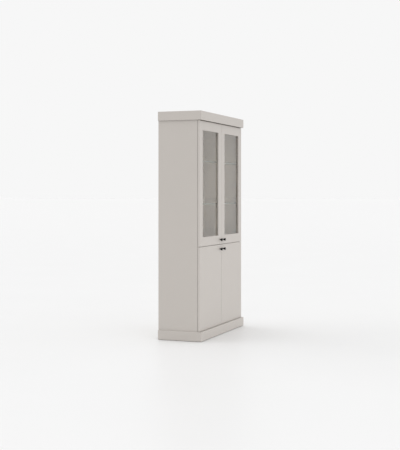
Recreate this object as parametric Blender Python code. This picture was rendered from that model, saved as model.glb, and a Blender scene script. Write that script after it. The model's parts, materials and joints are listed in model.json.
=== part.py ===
"""Display cabinet: two glazed doors over two plain doors, on a plinth and under a square cornice.

Metres, +Z up. The front faces -Y. The origin is on the floor, under the middle of the space that
the whole cabinet fills, knobs included.

Places beside a door's hinge are given by three values: u is measured inwards from the outer side
face, v backwards from the front face of the doors, and z up from the floor. side is -1 on the left
and 1 on the right, seen from the front.
"""

import math

import bmesh
import bpy

# Whole cabinet
CARCASS_WIDTH = 1.200
OVERALL_HEIGHT = 2.134
BODY_DEPTH = 0.412
CLEARANCE = 0.0003
MITRE_CLEARANCE = 0.0004
EDGE_ROUND = 0.0015
EDGE_ROUND_STEPS = 3
BEVEL_STEPS = 2
BEVEL_PROFILE_SHARE = 0.5
CUT_OVERRUN = 0.004
JOIN_OVERLAP = 0.0005
SMOOTH_LIMIT = math.radians(35)
QUARTER_TURN = math.pi / 2
HALF_TURN = math.pi
AXIS_MARK_SIZE = 0.06

# Boards of the carcass
SIDE_THICKNESS = 0.018
PANEL_THICKNESS = 0.018
BACK_THICKNESS = 0.006
BACK_REBATE_WIDTH = 0.009

# Shelves: glass ones behind the glazed doors, a painted one behind the plain doors
GLASS_SHELF_THICKNESS = 0.010
GLASS_SHELF_COUNT = 2
GLASS_SHELF_FIRST_CLEARING = 0.383
GLASS_SHELF_PITCH = 0.404
WOOD_SHELF_THICKNESS = 0.018
WOOD_SHELF_COUNT = 1
SHELF_END_PLAY = 0.0012
SHELF_SETBACK = 0.022
SHELF_BACK_PLAY = 0.002

# Plinth
PLINTH_HEIGHT = 0.091
PLINTH_FLOOR_GAP = 0.004
PLINTH_FRONT_OVERHANG = 0.021
PLINTH_SIDE_OVERHANG = 0.012
PLINTH_DECK_THICKNESS = 0.012
RAIL_THICKNESS = 0.018
BACK_RAIL_SETBACK = 0.030

# Cornice
CORNICE_HEIGHT = 0.085
CORNICE_FRONT_OVERHANG = 0.020
CORNICE_SIDE_OVERHANG = 0.013
SOFFIT_THICKNESS = 0.012
COVER_THICKNESS = 0.012

# Doors
DOOR_THICKNESS = 0.018
MEETING_GAP = 0.003
PLINTH_TO_DOOR = 0.002
TIER_GAP = 0.004
DOOR_TO_CORNICE = 0.004
DOOR_TO_CARCASS = 0.003
LOWER_DOOR_HEIGHT = 0.779
STILE_WIDTH = 0.087
GLAZING_LIP = 0.011
GLAZING_REBATE_WIDTH = 0.010
GLASS_THICKNESS = 0.004
GLASS_EDGE_PLAY = 0.001
BEAD_FACE_WIDTH = 0.0093
BEAD_CHAMFER = 0.001
UPPER_HINGE_COUNT = 3
LOWER_HINGE_COUNT = 2

# Knobs
KNOB_PROJECTION = 0.026
KNOB_FOOT_RADIUS = 0.0062
KNOB_NECK_RADIUS = 0.0046
KNOB_HEAD_RADIUS = 0.0135
KNOB_FOOT_HEIGHT = 0.0025
KNOB_RIM_HEIGHT = 0.0040
KNOB_CROWN = 0.0012
KNOB_FLARE_STEPS = 6
KNOB_CROWN_STEPS = 3
KNOB_SEGMENTS = 24

# Concealed hinges: the cup in the door
HINGE_FROM_DOOR_END = 0.100
CUP_EDGE_MARGIN = 0.005
CUP_BORE_RADIUS = 0.0175
CUP_BORE_DEPTH = 0.0123
CUP_WALL = 0.001
CUP_FIT = 0.0002
CUP_FLANGE_RADIUS = 0.0185
CUP_FLANGE_THICKNESS = 0.001
CUP_FOOT_CHAMFER = 0.001
CUP_SEGMENTS = 20
CUP_EAR_LENGTH = 0.010
CUP_EAR_WIDTH = 0.012
CUP_EAR_INSET = 0.006

# Concealed hinges: where the door turns, and the pivot of the arm, from the door's back face
DOOR_AXIS_FROM_DOOR_EDGE = 0.0056
DOOR_AXIS_FROM_DOOR_BACK = 0.0096
PIVOT_FROM_CUP_CENTRE = 0.0109
PIVOT_FROM_DOOR_BACK = 0.0056

# Concealed hinges: the arm on the side panel
ARM_HALF_WIDTH = 0.006
ARM_WALL = 0.0015
ARM_NOSE_RADIUS = 0.0026
ARM_NECK_LENGTH = 0.0176
ARM_NECK_DRIFT = 0.001
ARM_SHOULDER_LENGTH = 0.008
ARM_BODY_DEPTH = 0.0125
ARM_LENGTH = 0.080
ARM_SLOT_DEPTH = 0.0045
ARM_SLOT_HALF_WIDTH = 0.0038
ARM_PIN_RADIUS = 0.001
NOSE_STEPS = 8
PLATE_SETBACK = 0.037
PLATE_THICKNESS = 0.003
PLATE_LENGTH = 0.034
PLATE_WING_LENGTH = 0.018
PLATE_HALF_HEIGHT = 0.026
PLATE_BLOCK_HALF_WIDTH = 0.004

# Concealed hinges: the cranked link
LINK_TIP_FROM_CUP_CENTRE = 0.0130
LINK_TIP_FROM_DOOR_BACK = 0.0049
LINK_CRANK_ALONG = 0.0016
LINK_CRANK_DEPTH = 0.0041
LINK_HALF_THICKNESS = 0.00125
LINK_HALF_WIDTH = 0.0034
LINK_EYE_RADIUS = 0.0023
LINK_EYE_BORE_RADIUS = 0.0013
LINK_ROLLER_HALF_LENGTH = 0.0042
LINK_SEGMENTS = 10

# Shelf pins and their rows of holes
PIN_RADIUS = 0.0025
PIN_REACH = 0.008
PIN_HOLE_DEPTH = 0.010
PIN_HOLE_PITCH = 0.032
PIN_HOLES_EACH_WAY = 2
PIN_ROW_SETBACK = 0.037
PIN_TONGUE_THICKNESS = 0.0014
PIN_TONGUE_HALF_WIDTH = 0.0035
PIN_SEGMENTS = 8

# What follows from the sizes above
HALF_WIDTH = CARCASS_WIDTH / 2
FRONT_REACH = max(KNOB_PROJECTION, PLINTH_FRONT_OVERHANG, CORNICE_FRONT_OVERHANG)
DOOR_FRONT_Y = -(BODY_DEPTH - FRONT_REACH) / 2
CARCASS_FRONT = DOOR_THICKNESS + DOOR_TO_CARCASS
BACK_PANEL_FRONT = BODY_DEPTH - BACK_THICKNESS
CORNICE_UNDERSIDE = OVERALL_HEIGHT - CORNICE_HEIGHT
COVER_UNDERSIDE = OVERALL_HEIGHT - COVER_THICKNESS
LOWER_DOOR_BOTTOM = PLINTH_HEIGHT + PLINTH_TO_DOOR
LOWER_DOOR_TOP = LOWER_DOOR_BOTTOM + LOWER_DOOR_HEIGHT
UPPER_DOOR_BOTTOM = LOWER_DOOR_TOP + TIER_GAP
UPPER_DOOR_TOP = CORNICE_UNDERSIDE - DOOR_TO_CORNICE
DOOR_WIDTH = (CARCASS_WIDTH - MEETING_GAP) / 2
MIDDLE_PANEL_CENTRE = (LOWER_DOOR_TOP + UPPER_DOOR_BOTTOM) / 2
MIDDLE_PANEL_BOTTOM = MIDDLE_PANEL_CENTRE - PANEL_THICKNESS / 2
MIDDLE_PANEL_TOP = MIDDLE_PANEL_CENTRE + PANEL_THICKNESS / 2
BOTTOM_PANEL_TOP = PLINTH_HEIGHT + PANEL_THICKNESS
CUP_CENTRE_U = CUP_EDGE_MARGIN + CUP_BORE_RADIUS
PIVOT_U = CUP_CENTRE_U + PIVOT_FROM_CUP_CENTRE
PIVOT_V = DOOR_THICKNESS - PIVOT_FROM_DOOR_BACK
LINK_TIP_U = CUP_CENTRE_U - LINK_TIP_FROM_CUP_CENTRE
LINK_TIP_V = DOOR_THICKNESS - LINK_TIP_FROM_DOOR_BACK
DOOR_AXIS_V = DOOR_THICKNESS - DOOR_AXIS_FROM_DOOR_BACK
SIDES = {"left": -1, "right": 1}

# Finishes: name, linear colour, roughness, metallic share and alpha
FINISHES = {
    "paint": ("greige_satin_paint", (0.564, 0.527, 0.480), 0.45, 0.0, 1.0),
    "inside": ("greige_matt_inside", (0.508, 0.474, 0.432), 0.55, 0.0, 1.0),
    "glass": ("clear_glass", (0.78, 0.80, 0.79), 0.05, 0.0, 0.35),
    "knob": ("black_knob", (0.012, 0.012, 0.012), 0.42, 0.6, 1.0),
    "steel": ("nickel_plated_steel", (0.58, 0.57, 0.55), 0.28, 1.0, 1.0),
}


def at_side(side, u, v):
    """The world X and Y of a place u inwards from a side face and v behind the door fronts."""
    return side * (HALF_WIDTH - u), DOOR_FRONT_Y + v


def make_material(name, colour, roughness, metallic, alpha):
    """A Principled material with one colour."""
    material = bpy.data.materials.new(name)
    material.use_nodes = True
    shader = material.node_tree.nodes["Principled BSDF"]
    shader.inputs["Base Color"].default_value = (*colour, 1.0)
    shader.inputs["Roughness"].default_value = roughness
    shader.inputs["Metallic"].default_value = metallic
    shader.inputs["Alpha"].default_value = alpha
    return material


def finish(name, bm, material, origin=(0.0, 0.0, 0.0), parent=None, smooth=False):
    """Turns a bmesh in world places into an object whose own origin is at the point given."""
    bmesh.ops.recalc_face_normals(bm, faces=bm.faces)
    bmesh.ops.translate(bm, verts=bm.verts, vec=[-value for value in origin])
    mesh = bpy.data.meshes.new(name)
    bm.to_mesh(mesh)
    bm.free()
    if smooth:
        mesh.shade_smooth()
        mesh.set_sharp_from_angle(angle=SMOOTH_LIMIT)
    made = bpy.data.objects.new(name, mesh)
    bpy.context.scene.collection.objects.link(made)
    made.location = origin
    if material:
        mesh.materials.append(material)
    if parent:
        bpy.context.view_layer.update()
        made.parent = parent
        made.matrix_parent_inverse = parent.matrix_world.inverted()
    return made


def join_loops(bm, loops, closed=False):
    """Joins each loop of points to the next by quads, then caps the two ends or closes the run."""
    rows = [[bm.verts.new(point) for point in loop] for loop in loops]
    pairs = list(zip(rows, rows[1:]))
    if closed:
        pairs.append((rows[-1], rows[0]))
    else:
        bm.faces.new(rows[0])
        bm.faces.new(rows[-1])
    for first, second in pairs:
        for i in range(len(first)):
            j = (i + 1) % len(first)
            bm.faces.new((first[i], first[j], second[j], second[i]))


def upright_prism(bm, outline, low, high):
    """A plan outline of X and Y carried from one height to another."""
    join_loops(bm, [[(x, y, z) for x, y in outline] for z in (low, high)])


def box(bm, xs, ys, zs):
    """A block between two values along each axis."""
    outline = [(xs[0], ys[0]), (xs[1], ys[0]), (xs[1], ys[1]), (xs[0], ys[1])]
    upright_prism(bm, outline, zs[0], zs[1])


def middle(pair):
    """The value halfway between two."""
    return (pair[0] + pair[1]) / 2


def board(name, xs, ys, zs, material, parent=None):
    """A square-edged board, with its own origin at its middle."""
    bm = bmesh.new()
    box(bm, xs, ys, zs)
    return finish(name, bm, material, (middle(xs), middle(ys), middle(zs)), parent)


def edge_arc(centre, start):
    """Points round a softened edge, from a starting angle to a quarter turn on."""
    points = []
    for i in range(EDGE_ROUND_STEPS + 1):
        angle = start + QUARTER_TURN * i / EDGE_ROUND_STEPS
        first = centre[0] + EDGE_ROUND * math.cos(angle)
        points.append((first, centre[1] + EDGE_ROUND * math.sin(angle)))
    return points


def rectangle_loop(xs, zs, inset, y):
    """The four corners of an upright rectangle, drawn in by an inset, at one depth."""
    left, right = xs[0] + inset, xs[1] - inset
    low, high = zs[0] + inset, zs[1] - inset
    return [(left, y, low), (right, y, low), (right, y, high), (left, y, high)]


def carried_round(bm, profile, xs, zs, closed):
    """A profile of insets and depths carried round an upright rectangle, mitred at its corners."""
    loops = [rectangle_loop(xs, zs, inset, DOOR_FRONT_Y + depth) for inset, depth in profile]
    join_loops(bm, loops, closed)


def turned(bm, profile, segments, centre, away):
    """A profile of radius and distance turned about an axis along Y through a centre.

    away is 1 where the distances run backwards from the centre, and -1 where they run forwards.
    """
    rows = []
    for radius, along in profile:
        if radius == 0:
            rows.append([bm.verts.new((centre[0], centre[1] + away * along, centre[2]))])
            continue
        row = []
        for i in range(segments):
            angle = math.tau * i / segments
            across = centre[0] + radius * math.cos(angle)
            up = centre[2] + radius * math.sin(angle)
            row.append(bm.verts.new((across, centre[1] + away * along, up)))
        rows.append(row)
    for first, second in zip(rows, rows[1:]):
        for i in range(segments):
            j = (i + 1) % segments
            corners = [first[i % len(first)], first[j % len(first)]]
            corners += [second[j % len(second)], second[i % len(second)]]
            bm.faces.new(list(dict.fromkeys(corners)))


def upright_disc(bm, centre, radius, low, high, segments):
    """A cylinder along Z between two heights."""
    outline = []
    for i in range(segments):
        angle = math.tau * i / segments
        outline.append((centre[0] + radius * math.cos(angle), centre[1] + radius * math.sin(angle)))
    upright_prism(bm, outline, low, high)


def disc_along_y(bm, centre, radius, ys, segments):
    """A cylinder along Y, round a centre of X and Z."""
    loops = []
    for y in ys:
        loop = []
        for i in range(segments):
            angle = math.tau * i / segments
            across = centre[0] + radius * math.cos(angle)
            up = centre[1] + radius * math.sin(angle)
            loop.append((across, y, up))
        loops.append(loop)
    join_loops(bm, loops)


def disc_along_x(bm, centre, radius, xs, segments):
    """A cylinder along X, round a centre of Y and Z."""
    loops = []
    for x in xs:
        loop = []
        for i in range(segments):
            angle = math.tau * i / segments
            loop.append((x, centre[0] + radius * math.cos(angle), centre[1] + radius * math.sin(angle)))
        loops.append(loop)
    join_loops(bm, loops)


def combine(target, bm, operation, name):
    """Cuts or joins a bmesh to an object with a Boolean whose helper stays out of renders."""
    helper = finish(name, bm, None)
    helper.hide_render = True
    helper.display_type = "WIRE"
    modifier = target.modifiers.new(name, "BOOLEAN")
    modifier.operation = operation
    modifier.solver = "EXACT"
    modifier.object = helper


def axis_empty(name, side, u, v, z):
    """An empty on an upright joint axis."""
    made = bpy.data.objects.new(name, None)
    bpy.context.scene.collection.objects.link(made)
    made.location = (*at_side(side, u, v), z)
    made.empty_display_size = AXIS_MARK_SIZE
    return made


def shelf_places():
    """Each shelf's bottom and top height and the name of its finish.

    The glass shelves stand one pitch apart, and the painted ones part their space evenly.
    """
    places = {}
    for count in range(GLASS_SHELF_COUNT):
        low = MIDDLE_PANEL_TOP + GLASS_SHELF_FIRST_CLEARING + GLASS_SHELF_PITCH * count
        places[f"upper_shelf_{count + 1}"] = (low, low + GLASS_SHELF_THICKNESS, "glass")
    pitch = (MIDDLE_PANEL_BOTTOM - BOTTOM_PANEL_TOP) / (WOOD_SHELF_COUNT + 1)
    for count in range(1, WOOD_SHELF_COUNT + 1):
        low = BOTTOM_PANEL_TOP + pitch * count - WOOD_SHELF_THICKNESS / 2
        places[f"lower_shelf_{count}"] = (low, low + WOOD_SHELF_THICKNESS, "inside")
    return places


def pin_rows():
    """The two depths, behind the door fronts, of each side panel's columns of shelf-pin holes."""
    return CARCASS_FRONT + PIN_ROW_SETBACK, BACK_PANEL_FRONT - PIN_ROW_SETBACK


def side_panel(word, side, paint):
    """A side from the floor to the cover, rebated for the back, with pin holes and shelf pins."""
    rebate_front = BACK_PANEL_FRONT - CLEARANCE
    rebate_edge = SIDE_THICKNESS - BACK_REBATE_WIDTH
    plan = [(0.0, CARCASS_FRONT), (SIDE_THICKNESS, CARCASS_FRONT), (SIDE_THICKNESS, rebate_front)]
    plan += [(rebate_edge, rebate_front), (rebate_edge, BODY_DEPTH), (0.0, BODY_DEPTH)]
    bm = bmesh.new()
    outline = [at_side(side, u, v) for u, v in plan]
    upright_prism(bm, outline, 0.0, COVER_UNDERSIDE - CLEARANCE)
    origin = (*at_side(side, SIDE_THICKNESS / 2, middle((CARCASS_FRONT, BODY_DEPTH))), 0.0)
    panel = finish("side_panel_" + word, bm, paint, origin)

    holes = bmesh.new()
    pins = bmesh.new()
    tongues = bmesh.new()
    for shelf_bottom, _, _ in shelf_places().values():
        seat = shelf_bottom - CLEARANCE
        pin_z = seat - PIN_TONGUE_THICKNESS - PIN_RADIUS + JOIN_OVERLAP
        for v in pin_rows():
            for count in range(-PIN_HOLES_EACH_WAY, PIN_HOLES_EACH_WAY + 1):
                mouth, y = at_side(side, SIDE_THICKNESS + CUT_OVERRUN, v)
                bottom = at_side(side, SIDE_THICKNESS - PIN_HOLE_DEPTH, v)[0]
                if count:
                    hole_z = pin_z + PIN_HOLE_PITCH * count
                    disc_along_x(holes, (y, hole_z), PIN_RADIUS, (bottom, mouth), PIN_SEGMENTS)
            root = at_side(side, SIDE_THICKNESS - JOIN_OVERLAP, v)[0]
            tip = at_side(side, SIDE_THICKNESS + PIN_REACH, v)[0]
            disc_along_x(pins, (y, pin_z), PIN_RADIUS, (root, tip), PIN_SEGMENTS)
            tongue_ys = (y - PIN_TONGUE_HALF_WIDTH, y + PIN_TONGUE_HALF_WIDTH)
            box(tongues, (root, tip), tongue_ys, (seat - PIN_TONGUE_THICKNESS, seat))
    combine(panel, holes, "DIFFERENCE", f"pin_holes_{word}")
    combine(panel, pins, "UNION", f"pin_shanks_{word}")
    combine(panel, tongues, "UNION", f"pin_tongues_{word}")


def carcass_panels(finishes):
    """The bottom, middle and top panels between the sides, and the thin back in its rebates."""
    inner = HALF_WIDTH - SIDE_THICKNESS - CLEARANCE
    ys = (DOOR_FRONT_Y + CARCASS_FRONT, DOOR_FRONT_Y + BACK_PANEL_FRONT - CLEARANCE)
    bottoms = {"bottom": PLINTH_HEIGHT, "middle": MIDDLE_PANEL_BOTTOM, "top": CORNICE_UNDERSIDE}
    for word, low in bottoms.items():
        zs = (low, low + PANEL_THICKNESS)
        board(word + "_panel", (-inner, inner), ys, zs, finishes["inside"])
    back_edge = HALF_WIDTH - SIDE_THICKNESS + BACK_REBATE_WIDTH - CLEARANCE
    back_ys = (DOOR_FRONT_Y + BACK_PANEL_FRONT, DOOR_FRONT_Y + BODY_DEPTH)
    back_zs = (PLINTH_HEIGHT, COVER_UNDERSIDE - CLEARANCE)
    board("back_panel", (-back_edge, back_edge), back_ys, back_zs, finishes["inside"])


def shelves(finishes):
    """Loose shelves on pins, set back behind the doors, with softened front edges."""
    reach = HALF_WIDTH - SIDE_THICKNESS - SHELF_END_PLAY
    front = DOOR_FRONT_Y + CARCASS_FRONT + SHELF_SETBACK
    back = DOOR_FRONT_Y + BACK_PANEL_FRONT - SHELF_BACK_PLAY
    for name, (low, high, coat) in shelf_places().items():
        soft = front + EDGE_ROUND
        section = [(back, high), (back, low)]
        section += edge_arc((soft, low + EDGE_ROUND), HALF_TURN)[::-1]
        section += edge_arc((soft, high - EDGE_ROUND), QUARTER_TURN)[::-1]
        bm = bmesh.new()
        join_loops(bm, [[(x, y, z) for y, z in section] for x in (-reach, reach)])
        finish(name, bm, finishes[coat], (0.0, middle((front, back)), middle((low, high))))


def soften(bm, level, y=None, x=None):
    """Rounds the long outer arris at one height, on the face at the Y or the X given."""
    chosen = []
    for edge in bm.edges:
        flat = all(abs(vertex.co.z - level) < CLEARANCE for vertex in edge.verts)
        if y is not None:
            outer = all(abs(vertex.co.y - y) < CLEARANCE for vertex in edge.verts)
        else:
            outer = all(abs(vertex.co.x - x) < CLEARANCE for vertex in edge.verts)
        if flat and outer:
            chosen.append(edge)
    roundness = {"segments": BEVEL_STEPS, "profile": BEVEL_PROFILE_SHARE}
    bmesh.ops.bevel(bm, geom=chosen, offset=EDGE_ROUND, affect="EDGES", **roundness)


def surround(kind, heights, overhangs, ledge, paint):
    """A plinth or a cornice: a front with a ledge back to the carcass, and two mitred side boards.

    heights are its bottom and top, overhangs how far it stands out at the side and in front, and
    ledge the heights of the flat board that closes the space between its front and the carcass.
    """
    side_overhang, front_overhang = overhangs
    thickness = side_overhang - CLEARANCE
    outer_x = HALF_WIDTH + side_overhang
    inner_x = HALF_WIDTH + CLEARANCE
    outer_y = DOOR_FRONT_Y - front_overhang
    inner_y = outer_y + thickness
    back_y = DOOR_FRONT_Y + BODY_DEPTH

    bm = bmesh.new()
    plan = [(-outer_x, outer_y), (outer_x, outer_y), (inner_x, inner_y), (-inner_x, inner_y)]
    upright_prism(bm, plan, heights[0], heights[1])
    for level in heights:
        soften(bm, level, y=outer_y)
    front = finish(kind + "_front", bm, paint, (0.0, outer_y, heights[0]))
    shelf = bmesh.new()
    shelf_back = DOOR_FRONT_Y + CARCASS_FRONT - CLEARANCE
    box(shelf, (-HALF_WIDTH, HALF_WIDTH), (inner_y - thickness / 2, shelf_back), ledge)
    combine(front, shelf, "UNION", kind + "_ledge")

    for word, side in SIDES.items():
        bm = bmesh.new()
        plan = [(side * outer_x, outer_y + MITRE_CLEARANCE), (side * inner_x, inner_y + MITRE_CLEARANCE)]
        plan += [(side * inner_x, back_y), (side * outer_x, back_y)]
        upright_prism(bm, plan, heights[0], heights[1])
        for level in heights:
            soften(bm, level, x=side * outer_x)
        finish(f"{kind}_side_{word}", bm, paint, (side * outer_x, back_y, heights[0]))


def plinth(finishes):
    """The base: a front with a deck, two side boards, and the two rails that carry the bottom.

    The boards clear the floor, which the rails and the cabinet's sides stand on.
    """
    overhangs = (PLINTH_SIDE_OVERHANG, PLINTH_FRONT_OVERHANG)
    deck = (PLINTH_HEIGHT - PLINTH_DECK_THICKNESS, PLINTH_HEIGHT)
    heights = (PLINTH_FLOOR_GAP, PLINTH_HEIGHT)
    surround("plinth", heights, overhangs, deck, finishes["paint"])
    inner = HALF_WIDTH - SIDE_THICKNESS - CLEARANCE
    fronts = {"front": CARCASS_FRONT, "back": BACK_PANEL_FRONT - BACK_RAIL_SETBACK - RAIL_THICKNESS}
    for word, front in fronts.items():
        ys = (DOOR_FRONT_Y + front, DOOR_FRONT_Y + front + RAIL_THICKNESS)
        zs = (0.0, PLINTH_HEIGHT - CLEARANCE)
        board(f"base_rail_{word}", (-inner, inner), ys, zs, finishes["inside"])


def cornice(finishes):
    """The top: a front with a soffit, two side boards, and the cover that closes it."""
    overhangs = (CORNICE_SIDE_OVERHANG, CORNICE_FRONT_OVERHANG)
    soffit = (CORNICE_UNDERSIDE, CORNICE_UNDERSIDE + SOFFIT_THICKNESS)
    surround("cornice", (CORNICE_UNDERSIDE, OVERALL_HEIGHT), overhangs, soffit, finishes["paint"])
    board_thickness = CORNICE_SIDE_OVERHANG - CLEARANCE
    front = DOOR_FRONT_Y - CORNICE_FRONT_OVERHANG + board_thickness + MITRE_CLEARANCE
    ys = (front, DOOR_FRONT_Y + BODY_DEPTH)
    xs = (-HALF_WIDTH, HALF_WIDTH)
    board("cornice_cover", xs, ys, (COVER_UNDERSIDE, OVERALL_HEIGHT), finishes["paint"])


def door_edges(side):
    """The left and right edges of a door: one at the side face, the other at the meeting line."""
    outer = side * HALF_WIDTH
    meeting = side * (HALF_WIDTH - DOOR_WIDTH)
    return min(outer, meeting), max(outer, meeting)


def cut_cup_bores(door, side, hinge_heights, name):
    """Bores the door's back for the hinge cups."""
    bores = bmesh.new()
    centre_x = at_side(side, CUP_CENTRE_U, 0.0)[0]
    ys = (DOOR_FRONT_Y + DOOR_THICKNESS - CUP_BORE_DEPTH, DOOR_FRONT_Y + DOOR_THICKNESS + CUT_OVERRUN)
    for z in hinge_heights:
        disc_along_y(bores, (centre_x, z), CUP_BORE_RADIUS, ys, CUP_SEGMENTS)
    combine(door, bores, "DIFFERENCE", name)


def rounded_front():
    """The profile of a door's outer edge, from its back round the softened front arris."""
    return [(0.0, DOOR_THICKNESS)] + edge_arc((EDGE_ROUND, EDGE_ROUND), HALF_TURN)


def glazed_door(word, side, axis, hinge_heights, finishes):
    """A one-piece frame rebated behind for the glass, the pane, and the bead that holds it."""
    xs = door_edges(side)
    zs = (UPPER_DOOR_BOTTOM, UPPER_DOOR_TOP)
    inner_arc = edge_arc((STILE_WIDTH - EDGE_ROUND, EDGE_ROUND), -QUARTER_TURN)
    rebate = STILE_WIDTH - GLAZING_REBATE_WIDTH
    profile = rounded_front() + inner_arc
    profile += [(STILE_WIDTH, GLAZING_LIP), (rebate, GLAZING_LIP), (rebate, DOOR_THICKNESS)]
    bm = bmesh.new()
    carried_round(bm, profile, xs, zs, closed=True)
    frame = finish(f"upper_door_frame_{word}", bm, finishes["paint"], tuple(axis.location), axis)
    cut_cup_bores(frame, side, hinge_heights, f"upper_cup_bores_{word}")

    pane_inset = rebate + GLASS_EDGE_PLAY
    glass_front = GLAZING_LIP + CLEARANCE
    glass_back = glass_front + GLASS_THICKNESS
    bm = bmesh.new()
    carried_round(bm, [(pane_inset, glass_front), (pane_inset, glass_back)], xs, zs, closed=False)
    finish(f"glass_pane_{word}", bm, finishes["glass"], tuple(axis.location), axis)

    outer = rebate + CLEARANCE
    inner = rebate + BEAD_FACE_WIDTH
    bead_front = glass_back + CLEARANCE
    profile = [(outer, bead_front), (inner, bead_front), (inner, DOOR_THICKNESS - BEAD_CHAMFER)]
    profile += [(inner - BEAD_CHAMFER, DOOR_THICKNESS), (outer, DOOR_THICKNESS)]
    bm = bmesh.new()
    carried_round(bm, profile, xs, zs, closed=True)
    finish(f"glazing_bead_{word}", bm, finishes["paint"], tuple(axis.location), axis)


def plain_door(word, side, axis, hinge_heights, finishes):
    """A flat slab door with a softened front arris."""
    xs = door_edges(side)
    bm = bmesh.new()
    carried_round(bm, rounded_front(), xs, (LOWER_DOOR_BOTTOM, LOWER_DOOR_TOP), closed=False)
    slab = finish(f"lower_door_{word}", bm, finishes["paint"], tuple(axis.location), axis)
    cut_cup_bores(slab, side, hinge_heights, f"lower_cup_bores_{word}")


def knob_profile():
    """Radius and distance from the door: a small foot, a waisted neck that flares, and a crown."""
    rim_start = KNOB_PROJECTION - KNOB_CROWN - KNOB_RIM_HEIGHT
    profile = [(0.0, CLEARANCE), (KNOB_FOOT_RADIUS, CLEARANCE)]
    profile += [(KNOB_FOOT_RADIUS, KNOB_FOOT_HEIGHT / 2)]
    for i in range(KNOB_FLARE_STEPS + 1):
        share = i / KNOB_FLARE_STEPS
        flare = 1 - math.cos(QUARTER_TURN * share)
        radius = KNOB_NECK_RADIUS + (KNOB_HEAD_RADIUS - KNOB_NECK_RADIUS) * flare
        profile.append((radius, KNOB_FOOT_HEIGHT + (rim_start - KNOB_FOOT_HEIGHT) * share))
    profile.append((KNOB_HEAD_RADIUS, KNOB_PROJECTION - KNOB_CROWN - EDGE_ROUND))
    for i in range(KNOB_CROWN_STEPS):
        share = i / KNOB_CROWN_STEPS
        radius = (KNOB_HEAD_RADIUS - EDGE_ROUND) * (1 - share)
        profile.append((radius, KNOB_PROJECTION - KNOB_CROWN * (1 - share) ** 2))
    profile.append((0.0, KNOB_PROJECTION))
    return profile


def knob(name, side, z, axis, finishes):
    """A turned knob, its centre half a stile's width from the door's meeting edge."""
    centre_x = side * (HALF_WIDTH - DOOR_WIDTH + STILE_WIDTH / 2)
    bm = bmesh.new()
    turned(bm, knob_profile(), KNOB_SEGMENTS, (centre_x, DOOR_FRONT_Y, z), -1)
    finish(name, bm, finishes["knob"], (centre_x, DOOR_FRONT_Y, z), axis, smooth=True)


def hinge_cup(name, side, z, axis, finishes):
    """The cup pressed into the door: a thin drawn shell, and a flange with two ears."""
    centre_x = at_side(side, CUP_CENTRE_U, 0.0)[0]
    bottom = DOOR_THICKNESS - CUP_BORE_DEPTH + CLEARANCE
    seat = DOOR_THICKNESS + CLEARANCE
    top = seat + CUP_FLANGE_THICKNESS
    outer = CUP_BORE_RADIUS - CUP_FIT
    inner = outer - CUP_WALL
    profile = [(0.0, bottom), (outer - CUP_FOOT_CHAMFER, bottom), (outer, bottom + CUP_FOOT_CHAMFER)]
    profile += [(outer, seat), (CUP_FLANGE_RADIUS, seat), (CUP_FLANGE_RADIUS, top), (inner, top)]
    profile += [(inner, bottom + CUP_WALL), (0.0, bottom + CUP_WALL)]
    bm = bmesh.new()
    turned(bm, profile, CUP_SEGMENTS, (centre_x, DOOR_FRONT_Y, z), 1)
    origin = (centre_x, DOOR_FRONT_Y + DOOR_THICKNESS, z)
    cup = finish(name, bm, finishes["steel"], origin, axis, smooth=True)

    ears = bmesh.new()
    ear_root = middle((inner, CUP_FLANGE_RADIUS))
    ear_end = ear_root + CUP_EAR_LENGTH
    ear_u = CUP_CENTRE_U + CUP_EAR_INSET
    us = (ear_u - CUP_EAR_WIDTH / 2, ear_u + CUP_EAR_WIDTH / 2)
    xs = sorted(at_side(side, u, 0.0)[0] for u in us)
    for way in (-1, 1):
        zs = sorted((z + way * ear_root, z + way * ear_end))
        box(ears, xs, (DOOR_FRONT_Y + seat, DOOR_FRONT_Y + top), zs)
    combine(cup, ears, "UNION", name + "_ears")

    notch = bmesh.new()
    notch_us = (CUP_CENTRE_U - CUP_FLANGE_RADIUS - CUT_OVERRUN, CUP_CENTRE_U - inner + CUT_OVERRUN)
    notch_xs = sorted(at_side(side, u, 0.0)[0] for u in notch_us)
    notch_ys = (DOOR_FRONT_Y + DOOR_THICKNESS, DOOR_FRONT_Y + top + CUT_OVERRUN)
    half = LINK_ROLLER_HALF_LENGTH + CLEARANCE
    box(notch, notch_xs, notch_ys, (z - half, z + half))
    combine(cup, notch, "DIFFERENCE", name + "_notch")


def arm_outline():
    """The arm seen from above, as u and v: a round nose, a slim neck and a deeper body."""
    points = []
    for i in range(NOSE_STEPS + 1):
        angle = -HALF_TURN * i / NOSE_STEPS
        u = PIVOT_U + ARM_NOSE_RADIUS * math.cos(angle)
        points.append((u, PIVOT_V + ARM_NOSE_RADIUS * math.sin(angle)))
    neck_end = PIVOT_V + ARM_NECK_LENGTH
    neck_u = PIVOT_U + ARM_NECK_DRIFT
    shoulder = neck_end + ARM_SHOULDER_LENGTH
    top_u = neck_u + ARM_NOSE_RADIUS
    arm_end = PIVOT_V + ARM_LENGTH
    points += [(neck_u - ARM_NOSE_RADIUS, neck_end), (top_u - ARM_BODY_DEPTH, shoulder)]
    points += [(top_u - ARM_BODY_DEPTH, arm_end), (top_u - ARM_NOSE_RADIUS, arm_end)]
    points += [(top_u, arm_end - ARM_NOSE_RADIUS), (top_u, neck_end)]
    return points


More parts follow.
